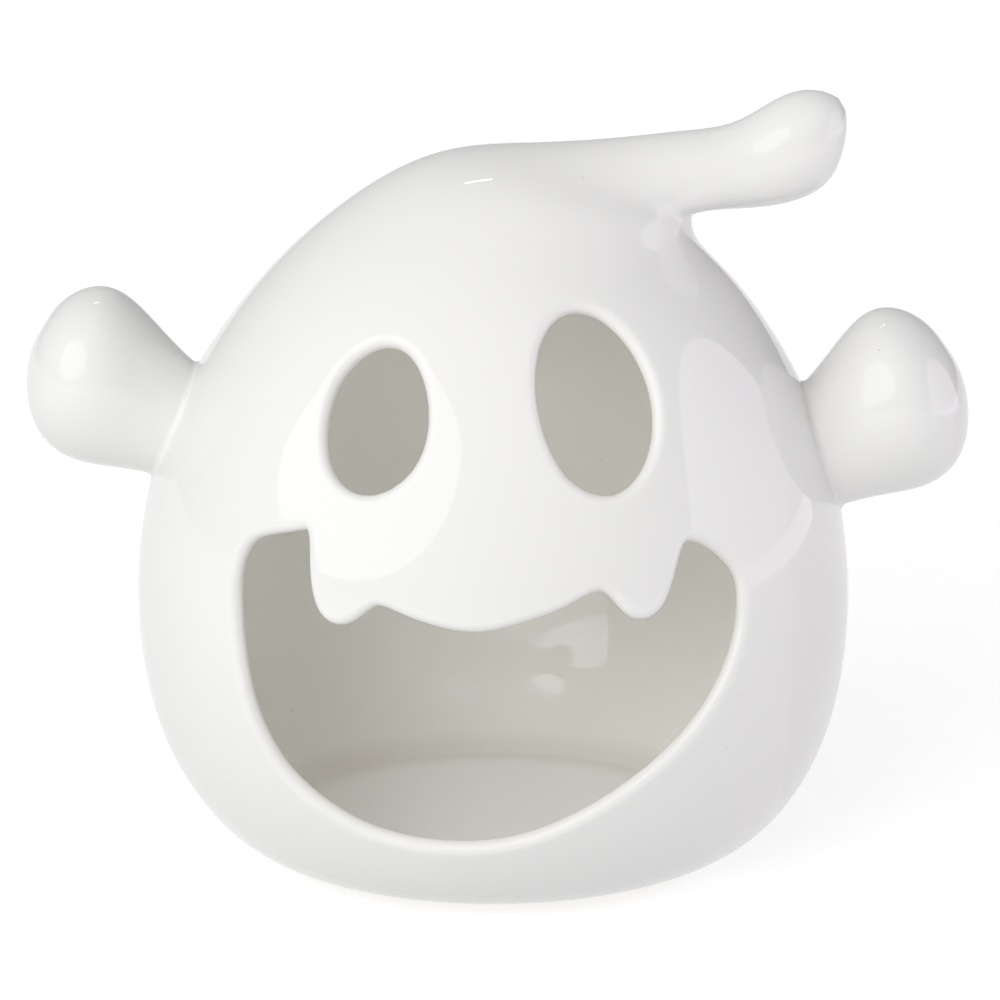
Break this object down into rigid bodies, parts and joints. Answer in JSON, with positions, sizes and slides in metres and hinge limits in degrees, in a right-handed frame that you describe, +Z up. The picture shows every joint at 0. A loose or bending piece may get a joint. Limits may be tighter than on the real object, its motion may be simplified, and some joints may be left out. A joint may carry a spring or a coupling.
{
  "type": "ceramic ghost figure",
  "caption": "Hollow glazed ceramic ghost with an open grinning mouth, oval eyes, a curled tip on its crown, round stub arms and rubber feet, standing on a flat base.",
  "frame": {"origin": "middle of the body on the surface that the rubber feet stand on", "axes": "+Z up, -Y the way the face looks, +X towards the curl and the right-hand arm as the face is seen"},
  "size_m": [0.2192, 0.1443, 0.1839],
  "materials": {
    "glaze": "gloss",
    "foot_rubber": "satin"
  },
  "bodies": {
    "root": {"body_shell": "glaze", "head_curl": "glaze", "left_arm": "glaze", "right_arm": "glaze", "foot_front_left": "foot_rubber", "foot_front_right": "foot_rubber", "foot_back_left": "foot_rubber", "foot_back_right": "foot_rubber"}
  },
  "joints": []
}
